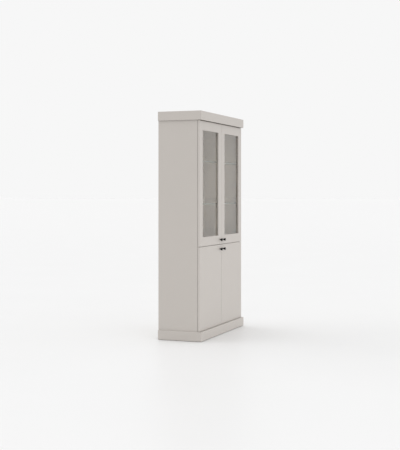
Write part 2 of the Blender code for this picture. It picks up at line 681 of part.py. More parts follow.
def hinge_arm(name, side, z, finishes):
    """The channel arm on its winged mounting plate, with the pin that the link turns on."""
    bm = bmesh.new()
    outline = [at_side(side, u, v) for u, v in arm_outline()]
    upright_prism(bm, outline, z - ARM_HALF_WIDTH, z + ARM_HALF_WIDTH)
    pivot = at_side(side, PIVOT_U, PIVOT_V)
    arm = finish(name, bm, finishes["steel"], (*pivot, z))

    top_u = PIVOT_U + ARM_NECK_DRIFT + ARM_NOSE_RADIUS
    shoulder = PIVOT_V + ARM_NECK_LENGTH + ARM_SHOULDER_LENGTH
    channel = bmesh.new()
    us = (top_u - ARM_BODY_DEPTH - CUT_OVERRUN, top_u - ARM_WALL)
    vs = (shoulder, PIVOT_V + ARM_LENGTH + CUT_OVERRUN)
    corners = [at_side(side, u, v) for u, v in zip(us, vs)]
    xs = sorted(x for x, _ in corners)
    ys = [y for _, y in corners]
    half = ARM_HALF_WIDTH - ARM_WALL
    box(channel, xs, ys, (z - half, z + half))
    combine(arm, channel, "DIFFERENCE", name + "_channel")

    slot = bmesh.new()
    us = (PIVOT_U - ARM_NOSE_RADIUS - CUT_OVERRUN, PIVOT_U + ARM_NOSE_RADIUS + CUT_OVERRUN)
    vs = (PIVOT_V - ARM_NOSE_RADIUS - CUT_OVERRUN, PIVOT_V + ARM_SLOT_DEPTH)
    xs = sorted(at_side(side, u, 0.0)[0] for u in us)
    ys = [DOOR_FRONT_Y + v for v in vs]
    box(slot, xs, ys, (z - ARM_SLOT_HALF_WIDTH, z + ARM_SLOT_HALF_WIDTH))
    combine(arm, slot, "DIFFERENCE", name + "_slot")

    pin = bmesh.new()
    half = ARM_SLOT_HALF_WIDTH + JOIN_OVERLAP
    upright_disc(pin, pivot, ARM_PIN_RADIUS, z - half, z + half, LINK_SEGMENTS)
    combine(arm, pin, "UNION", name + "_pin")

    seat = SIDE_THICKNESS + CLEARANCE
    plate_v = CARCASS_FRONT + PLATE_SETBACK
    plate = bmesh.new()
    add_plate(plate, side, z, seat, plate_v)
    combine(arm, plate, "UNION", name + "_plate")

    block = bmesh.new()
    xs = sorted(at_side(side, u, 0.0)[0] for u in (seat + PLATE_THICKNESS / 2, top_u - ARM_WALL / 2))
    ys = [DOOR_FRONT_Y + plate_v + way * PLATE_LENGTH / 2 for way in (-1, 1)]
    box(block, xs, ys, (z - PLATE_BLOCK_HALF_WIDTH, z + PLATE_BLOCK_HALF_WIDTH))
    combine(arm, block, "UNION", name + "_block")


def add_plate(bm, side, z, seat, plate_v):
    """The cross-shaped mounting plate, flat on the side panel."""
    long_half = PLATE_LENGTH / 2
    wing_half = PLATE_WING_LENGTH / 2
    waist = ARM_HALF_WIDTH
    tall = PLATE_HALF_HEIGHT
    cross = [(-long_half, -waist), (-wing_half, -waist), (-wing_half, -tall), (wing_half, -tall)]
    cross += [(wing_half, -waist), (long_half, -waist), (long_half, waist), (wing_half, waist)]
    cross += [(wing_half, tall), (-wing_half, tall), (-wing_half, waist), (-long_half, waist)]
    loops = []
    for u in (seat, seat + PLATE_THICKNESS):
        x = at_side(side, u, 0.0)[0]
        loops.append([(x, DOOR_FRONT_Y + plate_v + along, z + up) for along, up in cross])
    join_loops(bm, loops)


def link_path():
    """The link's tip, its crank and the arm's pivot, as u and v; the crank lies deeper in the cup."""
    along_u, along_v = LINK_TIP_U - PIVOT_U, LINK_TIP_V - PIVOT_V
    length = math.hypot(along_u, along_v)
    along_u, along_v = along_u / length, along_v / length
    across_u, across_v = along_v, -along_u
    if across_v > 0:
        across_u, across_v = -across_u, -across_v
    reach = length - LINK_CRANK_ALONG
    crank_u = PIVOT_U + reach * along_u + LINK_CRANK_DEPTH * across_u
    crank_v = PIVOT_V + reach * along_v + LINK_CRANK_DEPTH * across_v
    return (LINK_TIP_U, LINK_TIP_V), (crank_u, crank_v), (PIVOT_U, PIVOT_V)


def strip_outline(path, half):
    """A three-point path thickened by half its thickness each way, with a mitre at its bend."""
    tip, bend, end = path
    first = math.atan2(bend[1] - tip[1], bend[0] - tip[0])
    second = math.atan2(end[1] - bend[1], end[0] - bend[0])
    stretch = half / math.cos((second - first) / 2)
    rims = []
    for way in (1, -1):
        rim = []
        stations = ((tip, first, half), (bend, middle((first, second)), stretch), (end, second, half))
        for point, angle, width in stations:
            normal = angle + way * QUARTER_TURN
            rim.append((point[0] + width * math.cos(normal), point[1] + width * math.sin(normal)))
        rims.append(rim)
    return rims[0] + rims[1][::-1]


def hinge_link(name, side, z, axis, finishes):
    """The cranked link: an eye on the arm's pin, a bent strip, and a cross roller in the cup."""
    tip, bend, pivot = link_path()
    bm = bmesh.new()
    outline = [at_side(side, u, v) for u, v in strip_outline((tip, bend, pivot), LINK_HALF_THICKNESS)]
    upright_prism(bm, outline, z - LINK_HALF_WIDTH, z + LINK_HALF_WIDTH)
    centre = at_side(side, *pivot)
    link = finish(name, bm, finishes["steel"], (*centre, z), axis)

    eye = bmesh.new()
    upright_disc(eye, centre, LINK_EYE_RADIUS, z - LINK_HALF_WIDTH, z + LINK_HALF_WIDTH, LINK_SEGMENTS)
    combine(link, eye, "UNION", name + "_eye")
    roller = bmesh.new()
    half = LINK_ROLLER_HALF_LENGTH
    upright_disc(roller, at_side(side, *tip), LINK_HALF_THICKNESS, z - half, z + half, LINK_SEGMENTS)
    combine(link, roller, "UNION", name + "_roller")
    bore = bmesh.new()
    half = LINK_HALF_WIDTH + CUT_OVERRUN
    upright_disc(bore, centre, LINK_EYE_BORE_RADIUS, z - half, z + half, LINK_SEGMENTS)
    combine(link, bore, "DIFFERENCE", name + "_bore")


def hinge_heights_between(low, high, count):
    """Hinge heights: one near each end of a door, and the rest evenly between."""
    first, last = low + HINGE_FROM_DOOR_END, high - HINGE_FROM_DOOR_END
    return [first + (last - first) * i / (count - 1) for i in range(count)]


def doors(finishes):
    """The four doors, each with its knob and hinges, on an empty at the axis that it turns on."""
    tiers = {
        "upper": (glazed_door, UPPER_DOOR_BOTTOM, UPPER_DOOR_TOP, UPPER_HINGE_COUNT),
        "lower": (plain_door, LOWER_DOOR_BOTTOM, LOWER_DOOR_TOP, LOWER_HINGE_COUNT),
    }
    knob_heights = {"upper": UPPER_DOOR_BOTTOM + STILE_WIDTH / 2, "lower": LOWER_DOOR_TOP - STILE_WIDTH / 2}
    for tier, (make_door, low, high, hinge_count) in tiers.items():
        heights = hinge_heights_between(low, high, hinge_count)
        for word, side in SIDES.items():
            where = f"{tier}_{word}"
            axis = axis_empty(where + "_door_axis", side, DOOR_AXIS_FROM_DOOR_EDGE, DOOR_AXIS_V, low)
            link_axis = axis_empty(where + "_link_axis", side, PIVOT_U, PIVOT_V, low)
            make_door(word, side, axis, heights, finishes)
            knob(f"knob_{where}", side, knob_heights[tier], axis, finishes)
            for count, z in enumerate(heights, start=1):
                hinge_cup(f"hinge_cup_{where}_{count}", side, z, axis, finishes)
                hinge_arm(f"hinge_arm_{where}_{count}", side, z, finishes)
                hinge_link(f"hinge_link_{where}_{count}", side, z, link_axis, finishes)


def build():
    """Clears the scene and makes the cabinet."""
    for old in list(bpy.data.objects):
        bpy.data.objects.remove(old)
    finishes = {word: make_material(*values) for word, values in FINISHES.items()}
    for word, side in SIDES.items():
        side_panel(word, side, finishes["paint"])
    carcass_panels(finishes)
    shelves(finishes)
    plinth(finishes)
    cornice(finishes)
    doors(finishes)


build()
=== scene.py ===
"""Looks of a tall display cabinet: its finishes and fine fittings, with a floor, light and a camera.

Metres, +Z up, and the front faces -Y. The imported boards, doors and panes stay as they are and get
their finishes. Knobs, hinge cups, screws, shelf pins and buffers are surfaces worked out here as
whole arrays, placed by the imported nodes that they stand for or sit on. The arms and links of the
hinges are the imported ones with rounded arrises.
"""

import json
import math

import bmesh
import bpy
import numpy as np
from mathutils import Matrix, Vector


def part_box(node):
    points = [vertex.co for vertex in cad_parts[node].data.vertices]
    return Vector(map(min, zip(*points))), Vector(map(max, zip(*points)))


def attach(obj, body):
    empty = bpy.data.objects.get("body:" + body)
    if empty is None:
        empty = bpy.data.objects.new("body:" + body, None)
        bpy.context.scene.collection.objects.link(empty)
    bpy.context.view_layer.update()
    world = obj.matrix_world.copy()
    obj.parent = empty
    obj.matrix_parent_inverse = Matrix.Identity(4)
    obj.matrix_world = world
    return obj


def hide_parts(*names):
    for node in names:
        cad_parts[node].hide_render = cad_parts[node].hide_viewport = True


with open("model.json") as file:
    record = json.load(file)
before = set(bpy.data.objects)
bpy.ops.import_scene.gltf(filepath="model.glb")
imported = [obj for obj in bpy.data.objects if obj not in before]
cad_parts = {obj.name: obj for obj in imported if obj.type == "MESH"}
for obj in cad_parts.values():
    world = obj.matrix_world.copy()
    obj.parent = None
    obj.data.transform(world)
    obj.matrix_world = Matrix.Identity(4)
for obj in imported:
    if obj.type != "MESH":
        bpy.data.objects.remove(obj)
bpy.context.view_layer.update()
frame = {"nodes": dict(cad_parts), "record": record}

SIDES = {"left": -1, "right": 1}
HINGES = {"upper": 3, "lower": 2}


# Finishes

# Each pair of sRGB colours is what a finish drifts between.
PAINT_CODES = ("#C0BAB4", "#C2BCB6")
INSIDE_CODES = ("#BFB2A6", "#C2B5A9")
# Painted shade: the dark codes that the cornice's underside takes, for the shade under it
PAINTED_SHADE_CODES = ("#6C645B", "#766E64")
PRIMER_CODES = ("#C9C5BF", "#DBD8D4")
GLASS_EDGE_CODES = ("#6F7066", "#77786E")
NICKEL_CODES = ("#B9B4AA", "#CFCBC3")
ZINC_CODES = ("#B4B8BC", "#D2D5D8")
POWDER_CODES = ("#0B0B0B", "#141413")
PLASTIC_CODES = ("#D9D9D4", "#ECECE8")
RESIN_CODES = ("#ECECEC", "#EEEEEE")
GLASS_TINT = "#FEFFFE"
WHITE = "#FFFFFF"

SATIN_ROUGHNESS = 0.42
MATT_ROUGHNESS = 0.52
SHEEN_DRIFT = 0.03
PRIMER_ROUGHNESS = 0.8
GLASS_EDGE_ROUGHNESS = 0.20
NICKEL_ROUGHNESSES = (0.22, 0.36)
ZINC_ROUGHNESSES = (0.26, 0.42)
POWDER_ROUGHNESSES = (0.40, 0.55)
PLASTIC_ROUGHNESS = 0.18
RESIN_ROUGHNESS = 0.40

LACQUER_INDEX = 1.5
PLASTIC_INDEX = 1.49
PLASTIC_CLEARNESS = 0.7
# Glass, a powder coat and a resin have about 1.5, but the photographed ones mirror less than that.
GLASS_INDEX = 1.30
POWDER_INDEX = 1.3
RESIN_INDEX = 1.20

# Patterns: the size of their lumps in millimetres, their finer detail, and their relief in metres
LACQUER_DRIFT_MM = 220
LACQUER_CLOUD_MM = 60
LACQUER_CLOUD_DETAIL = 3.0
# The real peel is 2 mm across and 0.02 mm deep. It's drawn just as steep but 9 mm across, to show.
LACQUER_PEEL_MM = 9
LACQUER_PEEL_RELIEF = 0.00009
# The real fibres are 2 mm long. They're drawn in clumps, from 12 mm down, to show.
FIBRE_CLUMP_MM = 12
FIBRE_DETAIL = 6.0
FIBRE_RELIEF = 0.0001
GLASS_EDGE_DRIFT_MM = 90
NICKEL_CLOUD_MM = 7
NICKEL_CLOUD_DETAIL = 4.0
NICKEL_TUMBLING_MM = 0.5
NICKEL_TUMBLING_RELIEF = 0.000004
ZINC_FROST_MM = 0.8
ZINC_FROST_DETAIL = 3.0
# The real pebbles are 0.4 mm across, and they're drawn at 0.9 mm to show.
POWDER_PEBBLE_MM = 0.9
POWDER_PEBBLE_RELIEF = 0.00003
PLASTIC_CLOUD_MM = 3
RESIN_DRIFT_MM = 900

# How far into a board or a sheet of glass the finish, or the painted shade, of its one different face
# reaches
SKIN_DEPTH = 0.0015
UNDERSIDE_DEPTH = 0.0003


def linear(code):
    """An sRGB hex colour as linear red, green, blue and an alpha of one."""
    values = np.array([int(code[at:at + 2], 16) for at in (1, 3, 5)]) / 255
    curved = np.where(values <= 0.04045, values / 12.92, ((values + 0.055) / 1.055) ** 2.4)
    return [*curved.tolist(), 1.0]


def scale_for(lump_mm):
    """The scale of a noise whose lumps are about a size in millimetres."""
    return 1000 / lump_mm


def add_node(tree, kind, values=None, **settings):
    """Adds a node with its settings.

    Each value given for an input is a number, a colour, an output socket, or a node, which stands
    for its first output.
    """
    node = tree.nodes.new(kind)
    for name, value in settings.items():
        setattr(node, name, value)
    for socket, value in (values or {}).items():
        if isinstance(value, bpy.types.Node):
            value = value.outputs[0]
        if isinstance(value, bpy.types.NodeSocket):
            tree.links.new(value, node.inputs[socket])
        else:
            node.inputs[socket].default_value = value
    return node


def new_finish(name):
    """A material with nothing in its node tree, and the tree."""
    finish = bpy.data.materials.new(name)
    finish.use_nodes = True
    finish.node_tree.nodes.clear()
    return finish, finish.node_tree


def sprayed_lacquer(name, codes, roughness, other_paint_or_shade_codes=None, axis="X", within=0.0):
    """Two-pack lacquer sprayed on fine fibreboard, cured satin or matt.

    To the eye: one even colour that drifts by a hundredth over a hand's span, a soft sheen, and
    the shallow orange peel that a spray gun leaves. A board with another paint on one face, or with
    painted shade on its underside, has the other codes where its place along the axis is less than
    within from the origin.
    """
    finish, tree = new_finish(name)
    places = add_node(tree, "ShaderNodeTexCoord").outputs["Object"]
    drift = add_node(tree, "ShaderNodeTexNoise", {
        "Vector": places, "Scale": scale_for(LACQUER_DRIFT_MM)})
    colour = add_node(tree, "ShaderNodeMixRGB", {0: drift, 1: linear(codes[0]), 2: linear(codes[1])})
    # The other codes are another paint on a side panel's inner face, and painted shade on the cornice's
    # underside.
    if other_paint_or_shade_codes:
        along = add_node(tree, "ShaderNodeSeparateXYZ", {0: places}).outputs[axis]
        distance = add_node(tree, "ShaderNodeMath", {0: along}, operation="ABSOLUTE")
        other_face_or_shaded_underside = add_node(tree, "ShaderNodeMath", {0: distance, 1: within}, operation="LESS_THAN")
        other_paint_or_shade_colour = add_node(tree, "ShaderNodeMixRGB", {
            0: drift, 1: linear(other_paint_or_shade_codes[0]), 2: linear(other_paint_or_shade_codes[1])})
        colour = add_node(tree, "ShaderNodeMixRGB", {0: other_face_or_shaded_underside, 1: colour, 2: other_paint_or_shade_colour})
    cloud = add_node(tree, "ShaderNodeTexNoise", {
        "Vector": places, "Scale": scale_for(LACQUER_CLOUD_MM), "Detail": LACQUER_CLOUD_DETAIL})
    sheen = add_node(tree, "ShaderNodeMapRange", {
        "Value": cloud, "To Min": roughness - SHEEN_DRIFT, "To Max": roughness + SHEEN_DRIFT})
    peel = add_node(tree, "ShaderNodeTexNoise", {
        "Vector": places, "Scale": scale_for(LACQUER_PEEL_MM)})
    relief = add_node(tree, "ShaderNodeBump", {"Height": peel, "Distance": LACQUER_PEEL_RELIEF})
    skin = add_node(tree, "ShaderNodeBsdfPrincipled", {
        "Base Color": colour, "Roughness": sheen, "Normal": relief, "IOR": LACQUER_INDEX})
    add_node(tree, "ShaderNodeOutputMaterial", {"Surface": skin})
    return finish


def painted_hardboard(codes, roughness, rear_y):
    """Thin hardboard, lacquered on the face towards the shelves and only primed behind rear_y.

    To the eye: the cabinet's back is a dull off-white, in which the pressed fibres show as a
    fine mottle.
    """
    finish, tree = new_finish("hardboard_lacquered_and_primed")
    places = add_node(tree, "ShaderNodeTexCoord").outputs["Object"]
    drift = add_node(tree, "ShaderNodeTexNoise", {
        "Vector": places, "Scale": scale_for(LACQUER_DRIFT_MM)})
    lacquer = add_node(tree, "ShaderNodeMixRGB", {0: drift, 1: linear(codes[0]), 2: linear(codes[1])})
    fibres = add_node(tree, "ShaderNodeTexNoise", {
        "Vector": places, "Scale": scale_for(FIBRE_CLUMP_MM), "Detail": FIBRE_DETAIL})
    primer = add_node(tree, "ShaderNodeMixRGB", {
        0: fibres, 1: linear(PRIMER_CODES[0]), 2: linear(PRIMER_CODES[1])})
    depth = add_node(tree, "ShaderNodeSeparateXYZ", {0: places}).outputs["Y"]
    behind = add_node(tree, "ShaderNodeMath", {0: depth, 1: rear_y}, operation="GREATER_THAN")
    colour = add_node(tree, "ShaderNodeMixRGB", {0: behind, 1: lacquer, 2: primer})
    sheen = add_node(tree, "ShaderNodeMapRange", {
        "Value": behind, "To Min": roughness, "To Max": PRIMER_ROUGHNESS})
    relief = add_node(tree, "ShaderNodeBump", {"Height": fibres, "Distance": FIBRE_RELIEF})
    skin = add_node(tree, "ShaderNodeBsdfPrincipled", {
        "Base Color": colour, "Roughness": sheen, "Normal": relief, "IOR": LACQUER_INDEX})
    add_node(tree, "ShaderNodeOutputMaterial", {"Surface": skin})
    return finish


def clear_shader(tree):
    """Clear glass: each face mirrors by Fresnel's law and lets the rest straight through.

    A ray that leaves the glass meets the same law from its other side, so the index is turned over
    there.
    """
    leaving = add_node(tree, "ShaderNodeNewGeometry").outputs["Backfacing"]
    index = add_node(tree, "ShaderNodeMapRange", {
        "Value": leaving, "To Min": GLASS_INDEX, "To Max": 1 / GLASS_INDEX})
    share = add_node(tree, "ShaderNodeFresnel", {"IOR": index})
    clear = add_node(tree, "ShaderNodeBsdfTransparent", {"Color": linear(GLASS_TINT)})
    mirror = add_node(tree, "ShaderNodeBsdfGlossy", {"Color": linear(WHITE), "Roughness": 0.0})
    return add_node(tree, "ShaderNodeMixShader", {0: share, 1: clear, 2: mirror})


def float_glass():
    """Clear float glass, 4 mm thick, fire-polished.

    To the eye: a faint mirror at a slant, and nothing but what is behind it head on.
    """
    finish, tree = new_finish("clear_float_glass")
    add_node(tree, "ShaderNodeOutputMaterial", {"Surface": clear_shader(tree)})
    return finish


def edged_glass(front_y):
    """Clear float glass, 10 mm thick, with a polished edge in front of front_y.

    To the eye: its faces are those of the panes, and its edge is a dim greyish green, because light
    reaches it through the whole depth of the sheet.
    """
    finish, tree = new_finish("clear_shelf_glass")
    places = add_node(tree, "ShaderNodeTexCoord").outputs["Object"]
    depth = add_node(tree, "ShaderNodeSeparateXYZ", {0: places}).outputs["Y"]
    at_edge = add_node(tree, "ShaderNodeMath", {0: depth, 1: front_y}, operation="LESS_THAN")
    drift = add_node(tree, "ShaderNodeTexNoise", {
        "Vector": places, "Scale": scale_for(GLASS_EDGE_DRIFT_MM)})
    green = add_node(tree, "ShaderNodeMixRGB", {
        0: drift, 1: linear(GLASS_EDGE_CODES[0]), 2: linear(GLASS_EDGE_CODES[1])})
    edge = add_node(tree, "ShaderNodeBsdfPrincipled", {
        "Base Color": green, "Roughness": GLASS_EDGE_ROUGHNESS, "IOR": GLASS_INDEX})
    glass = add_node(tree, "ShaderNodeMixShader", {0: at_edge, 1: clear_shader(tree), 2: edge})
    add_node(tree, "ShaderNodeOutputMaterial", {"Surface": glass})
    return finish


def nickel_plate():
    """Steel strip, pressed and then barrel-plated with nickel.

    To the eye: a warm grey metal with soft reflections, dulled a little in cloudy patches.
    """
    finish, tree = new_finish("nickel_plated_pressed_steel")
    places = add_node(tree, "ShaderNodeTexCoord").outputs["Object"]
    cloud = add_node(tree, "ShaderNodeTexNoise", {
        "Vector": places, "Scale": scale_for(NICKEL_CLOUD_MM), "Detail": NICKEL_CLOUD_DETAIL})
    colour = add_node(tree, "ShaderNodeMixRGB", {
        0: cloud, 1: linear(NICKEL_CODES[0]), 2: linear(NICKEL_CODES[1])})
    sheen = add_node(tree, "ShaderNodeMapRange", {
        "Value": cloud, "To Min": NICKEL_ROUGHNESSES[0], "To Max": NICKEL_ROUGHNESSES[1]})
    tumbling = add_node(tree, "ShaderNodeTexNoise", {
        "Vector": places, "Scale": scale_for(NICKEL_TUMBLING_MM)})
    relief = add_node(tree, "ShaderNodeBump", {
        "Height": tumbling, "Distance": NICKEL_TUMBLING_RELIEF})
    metal = add_node(tree, "ShaderNodeBsdfPrincipled", {
        "Base Color": colour, "Metallic": 1.0, "Roughness": sheen, "Normal": relief})
    add_node(tree, "ShaderNodeOutputMaterial", {"Surface": metal})
    return finish


def zinc_plate():
    """Steel wire, headed into screws and zinc-plated.

    To the eye: a cooler, brighter and slightly frosted grey beside the nickel.
    """
    finish, tree = new_finish("zinc_plated_screw_steel")
    places = add_node(tree, "ShaderNodeTexCoord").outputs["Object"]
    frost = add_node(tree, "ShaderNodeTexNoise", {
        "Vector": places, "Scale": scale_for(ZINC_FROST_MM), "Detail": ZINC_FROST_DETAIL})
    colour = add_node(tree, "ShaderNodeMixRGB", {
        0: frost, 1: linear(ZINC_CODES[0]), 2: linear(ZINC_CODES[1])})
    sheen = add_node(tree, "ShaderNodeMapRange", {
        "Value": frost, "To Min": ZINC_ROUGHNESSES[0], "To Max": ZINC_ROUGHNESSES[1]})
    metal = add_node(tree, "ShaderNodeBsdfPrincipled", {
        "Base Color": colour, "Metallic": 1.0, "Roughness": sheen})
    add_node(tree, "ShaderNodeOutputMaterial", {"Surface": metal})
    return finish


def powder_coat():
    """Turned steel under a black powder coat.

    To the eye: a satin black with a fine pebbled skin that breaks up the highlight.
    """
    finish, tree = new_finish("black_powder_coat")
    places = add_node(tree, "ShaderNodeTexCoord").outputs["Object"]
    pebbles = add_node(tree, "ShaderNodeTexNoise", {
        "Vector": places, "Scale": scale_for(POWDER_PEBBLE_MM)})
    colour = add_node(tree, "ShaderNodeMixRGB", {
        0: pebbles, 1: linear(POWDER_CODES[0]), 2: linear(POWDER_CODES[1])})
    sheen = add_node(tree, "ShaderNodeMapRange", {
        "Value": pebbles, "To Min": POWDER_ROUGHNESSES[0], "To Max": POWDER_ROUGHNESSES[1]})
    relief = add_node(tree, "ShaderNodeBump", {"Height": pebbles, "Distance": POWDER_PEBBLE_RELIEF})
    coat = add_node(tree, "ShaderNodeBsdfPrincipled", {
        "Base Color": colour, "Roughness": sheen, "Normal": relief, "IOR": POWDER_INDEX})
    add_node(tree, "ShaderNodeOutputMaterial", {"Surface": coat})
    return finish


def soft_plastic():
    """Clear soft polyurethane, cast as self-adhesive drops.

    To the eye: small milky lenses, smooth and a little cloudy within.
    """
    finish, tree = new_finish("clear_polyurethane")
    places = add_node(tree, "ShaderNodeTexCoord").outputs["Object"]
    cloud = add_node(tree, "ShaderNodeTexNoise", {
        "Vector": places, "Scale": scale_for(PLASTIC_CLOUD_MM)})
    colour = add_node(tree, "ShaderNodeMixRGB", {
        0: cloud, 1: linear(PLASTIC_CODES[0]), 2: linear(PLASTIC_CODES[1])})
    drop = add_node(tree, "ShaderNodeBsdfPrincipled", {
        "Base Color": colour, "Roughness": PLASTIC_ROUGHNESS, "IOR": PLASTIC_INDEX,
        "Transmission Weight": PLASTIC_CLEARNESS})
    add_node(tree, "ShaderNodeOutputMaterial", {"Surface": drop})
    return finish


inner_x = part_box("bottom_panel")[1].x
shelf_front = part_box("upper_shelf_1")[0].y
cornice_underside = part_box("cornice_front")[0].z
back_low, back_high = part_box("back_panel")

SATIN = sprayed_lacquer("sprayed_satin_lacquer", PAINT_CODES, SATIN_ROUGHNESS)
SIDE = sprayed_lacquer("sprayed_satin_lacquer_two_tones", PAINT_CODES, SATIN_ROUGHNESS,
                       INSIDE_CODES, "X", inner_x + SKIN_DEPTH)
# Painted shade: the cornice's underside takes dark codes, for the shade in the line under the cornice.
CORNICE = sprayed_lacquer("sprayed_satin_lacquer_painted_shade_below", PAINT_CODES, SATIN_ROUGHNESS,
                          PAINTED_SHADE_CODES, "Z", cornice_underside + UNDERSIDE_DEPTH)
MATT = sprayed_lacquer("sprayed_matt_lacquer", INSIDE_CODES, MATT_ROUGHNESS)
HARDBOARD = painted_hardboard(INSIDE_CODES, MATT_ROUGHNESS, (back_low.y + back_high.y) / 2)
PANE_GLASS = float_glass()
SHELF_GLASS = edged_glass(shelf_front + SKIN_DEPTH)
NICKEL = nickel_plate()
ZINC = zinc_plate()
BLACK = powder_coat()
CLEAR_PLASTIC = soft_plastic()

FINISH_OF_SLOT = {"outside_paint": SATIN, "inside_paint": MATT, "glass": PANE_GLASS,
                  "knob_black": BLACK, "hinge_steel": NICKEL}
FINISH_OF_NODE = {"side_panel_left": SIDE, "side_panel_right": SIDE, "back_panel": HARDBOARD,
                  "cornice_front": CORNICE, "cornice_side_left": CORNICE, "cornice_side_right": CORNICE,
                  "upper_shelf_1": SHELF_GLASS, "upper_shelf_2": SHELF_GLASS}


def dress_packed_nodes():
    """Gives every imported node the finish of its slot, or its own."""
    for entry in frame["record"]["subparts"]:
        name = entry["node"]
        finish = FINISH_OF_NODE.get(name, FINISH_OF_SLOT[entry["material_slot"]])
        frame["nodes"][name].data.materials.clear()
        frame["nodes"][name].data.materials.append(finish)


# Surfaces

UP = np.array([0.0, 0.0, 1.0])
# Where a profile that turns about an axis starts and ends, so that no face shrinks to a line
NEAR_AXIS = 0.0003
SHARP_ANGLE = math.radians(35)
MERGE_DISTANCE = 0.00001
FLAT_ANGLE = math.radians(1)
ARRIS_ANGLE = math.radians(40)
ARRIS_STEPS = 2
BEND_STEPS = 6


def rounded(corners, reach, steps=BEND_STEPS):
    """A profile whose inner corners are rounded.

    From reach before a corner to reach after it the profile is (1 - s)^2 before + 2 s (1 - s) corner
    + s^2 after, for s from 0 to 1.
    """
    points = np.array(corners, float)
    middle = points[1:-1, None]
    back = points[:-2, None] - middle
    onward = points[2:, None] - middle
    reach = np.broadcast_to(reach, len(middle))[:, None, None]
    start = middle + reach * back / np.linalg.norm(back, axis=-1, keepdims=True)
    end = middle + reach * onward / np.linalg.norm(onward, axis=-1, keepdims=True)
    s = np.linspace(0, 1, steps)[None, :, None]
    bends = (1 - s) ** 2 * start + 2 * s * (1 - s) * middle + s ** 2 * end
    return np.vstack([points[:1], bends.reshape(-1, 2), points[-1:]])


def turned(profile, segments):
    """Rows of points on a turned form.

    They are (r cos a, r sin a, h) for each profile point (r, h) and angle a.
    """
    turn = np.linspace(0, math.tau, segments, endpoint=False)
    radius, height = np.array(profile).T[:, :, None]
    return np.stack([radius * np.cos(turn), radius * np.sin(turn), height + 0 * turn], axis=-1)


def closed_skin(rows):
    """The points, four-sided faces and three-sided faces of a closed skin over rows of points.

    Each row is a closed loop. Neighbours on two rows make a face, and a fan to its middle point
    closes the first row and the last.
    """
    count, width = rows.shape[:2]
    here = np.arange(count * width).reshape(count, width)
    beside = np.roll(here, -1, axis=1)
    quads = np.stack([here[:-1], beside[:-1], beside[1:], here[1:]], axis=-1).reshape(-1, 4)
    first = np.stack([beside[0], here[0], np.full(width, count * width)], axis=-1)
    last = np.stack([here[-1], beside[-1], np.full(width, count * width + 1)], axis=-1)
    points = np.vstack([rows.reshape(-1, 3), rows[0].mean(axis=0), rows[-1].mean(axis=0)])
    return points, quads, np.vstack([first, last])


def stood(rows, place, out):
    """A closed skin over rows moved to a place, their third value along out and their second upwards."""
    out = np.array(out, float)
    return closed_skin(np.array(place) + rows @ np.array([np.cross(UP, out), UP, out]))


def show(made, body, finish, replaced=()):
    """Puts a finished mesh in the scene: smooth, with its finish, its body and what it stands for."""
    bpy.context.scene.collection.objects.link(made)
    made.data.shade_smooth()
    made.data.set_sharp_from_angle(angle=SHARP_ANGLE)
    made.data.materials.append(finish)
    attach(made, body)
    if replaced:
        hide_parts(*replaced)
    return made


def piece(name, skins, body, finish, replaced=()):
    """One object from closed skins."""
    starts = np.cumsum([0] + [len(points) for points, _, _ in skins])
    points = np.vstack([skin[0] for skin in skins])
    quads = np.vstack([skin[1] + start for skin, start in zip(skins, starts)])
    fans = np.vstack([skin[2] + start for skin, start in zip(skins, starts)])
    mesh = bpy.data.meshes.new(name)
    mesh.from_pydata(points.tolist(), [], quads.tolist() + fans.tolist())
    return show(bpy.data.objects.new(name, mesh), body, finish, replaced)


def softened_copy(node, name, body, width, finish):
    """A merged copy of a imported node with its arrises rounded, which stands for the node."""
    merged = bmesh.new()
    merged.from_mesh(frame["nodes"][node].data)
    bmesh.ops.remove_doubles(merged, verts=merged.verts, dist=MERGE_DISTANCE)
    bmesh.ops.dissolve_limit(merged, angle_limit=FLAT_ANGLE, verts=merged.verts, edges=merged.edges)
    mesh = bpy.data.meshes.new(name)
    merged.to_mesh(mesh)
    merged.free()
    made = show(bpy.data.objects.new(name, mesh), body, finish, [node])
    soft = made.modifiers.new("rounded_arrises", "BEVEL")
    soft.width = width
    soft.segments = ARRIS_STEPS
    soft.limit_method = "ANGLE"
    soft.angle_limit = ARRIS_ANGLE
    soft.harden_normals = True
    return made


# Screws

SCREW_SEGMENTS = 40
SCREW_RINGS = 12
# The rings run from the rim, 0, nearly to the middle, 1.
SCREW_LAST_RING = 0.98
# Shares of a head's radius, but for the last, which is of its crown
CONE_END_SHARE = 0.35
CONE_DEPTH_SHARE = 0.55
CROSS_HALF_WIDTH_SHARE = 0.14
CROSS_HALF_LENGTH_SHARE = 0.60
CROSS_SOFTNESS_SHARE = 0.0125
CROSS_DEPTH_SHARE = 0.85


def screw_head(radius, height):
    """Rows of points on a raised countersunk screw head with a cross recess.

    With r the distance from the middle, the head is height * sqrt(1 - (r / radius)^4) high. A bar of
    the cross takes a share off that, times smooth_step(|across|) * smooth_step(|along|), where
    smooth_step(v) = 1 / (1 + exp((v - limit) / softness)). Below the rim a cone narrows into the hole.
    """
    rim_to_middle = np.linspace(0, SCREW_LAST_RING, SCREW_RINGS)[:, None]
    distance = radius * np.cos(rim_to_middle * math.pi / 2)
    turn = np.linspace(0, math.tau, SCREW_SEGMENTS, endpoint=False)
    across, along = distance * np.cos(turn), distance * np.sin(turn)
    crown = height * np.sqrt(np.clip(1 - (distance / radius) ** 4, 0, 1))
    both = np.stack([across, along])

    def smooth_step(limit):
        return 1 / (1 + np.exp((np.abs(both) - limit) / (CROSS_SOFTNESS_SHARE * radius)))

    narrow_one_way = smooth_step(CROSS_HALF_WIDTH_SHARE * radius)
    long_other_way = smooth_step(CROSS_HALF_LENGTH_SHARE * radius)[::-1]
    bars = narrow_one_way * long_other_way
    recessed = crown * (1 - CROSS_DEPTH_SHARE * bars.max(axis=0))
    face = np.stack([across, along, recessed], axis=-1)
    cone_end = face[:1] * (CONE_END_SHARE, CONE_END_SHARE, 0) - (0, 0, CONE_DEPTH_SHARE * radius)
    return np.concatenate([cone_end, face])


# Knobs

